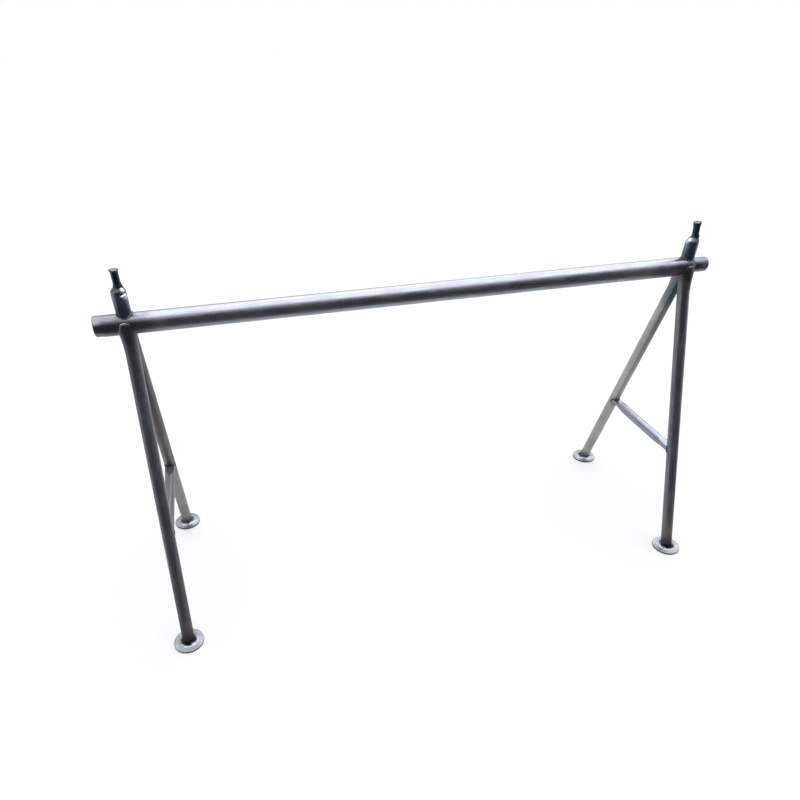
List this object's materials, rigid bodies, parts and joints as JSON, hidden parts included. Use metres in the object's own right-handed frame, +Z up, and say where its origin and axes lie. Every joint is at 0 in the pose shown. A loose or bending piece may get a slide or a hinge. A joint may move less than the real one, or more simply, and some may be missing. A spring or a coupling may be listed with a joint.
{
  "type": "workbench support stand",
  "caption": "Welded steel tube trestle: a round top beam on splayed A-frame legs with low braces and round foot plates, and a post with a headed pin at each end of the beam.",
  "frame": {"origin": "on the floor, midway between the A-frames and under the beam's axis", "axes": "+X along the beam towards its spigot end, -Y the front, +Z up"},
  "size_m": [1.5855, 0.602, 0.9372],
  "materials": {
    "tube_steel": "weathered galvanised tube with lengthwise streaks",
    "bright_zinc": "brighter zinc with a satin sheen",
    "black_bar": "dark mill scale, bright where hammered",
    "weld_metal": "rippled weld with dark heat tint and bright glints"
  },
  "bodies": {
    "root": {"top_beam": "tube_steel", "left_post": "tube_steel", "left_pin": "black_bar", "left_brace": "bright_zinc", "left_apex_weld": "weld_metal", "left_post_weld": "weld_metal", "left_pin_weld": "weld_metal", "right_post": "tube_steel", "right_pin": "black_bar", "right_brace": "bright_zinc", "right_apex_weld": "weld_metal", "right_post_weld": "weld_metal", "right_pin_weld": "weld_metal", "front_left_leg": "tube_steel", "front_left_foot_plate": "bright_zinc", "front_left_foot_weld": "weld_metal", "front_left_brace_weld": "weld_metal", "rear_left_leg": "tube_steel", "rear_left_foot_plate": "bright_zinc", "rear_left_foot_weld": "weld_metal", "rear_left_brace_weld": "weld_metal", "front_right_leg": "tube_steel", "front_right_foot_plate": "bright_zinc", "front_right_foot_weld": "weld_metal", "front_right_brace_weld": "weld_metal", "rear_right_leg": "tube_steel", "rear_right_foot_plate": "bright_zinc", "rear_right_foot_weld": "weld_metal", "rear_right_brace_weld": "weld_metal"}
  },
  "joints": []
}
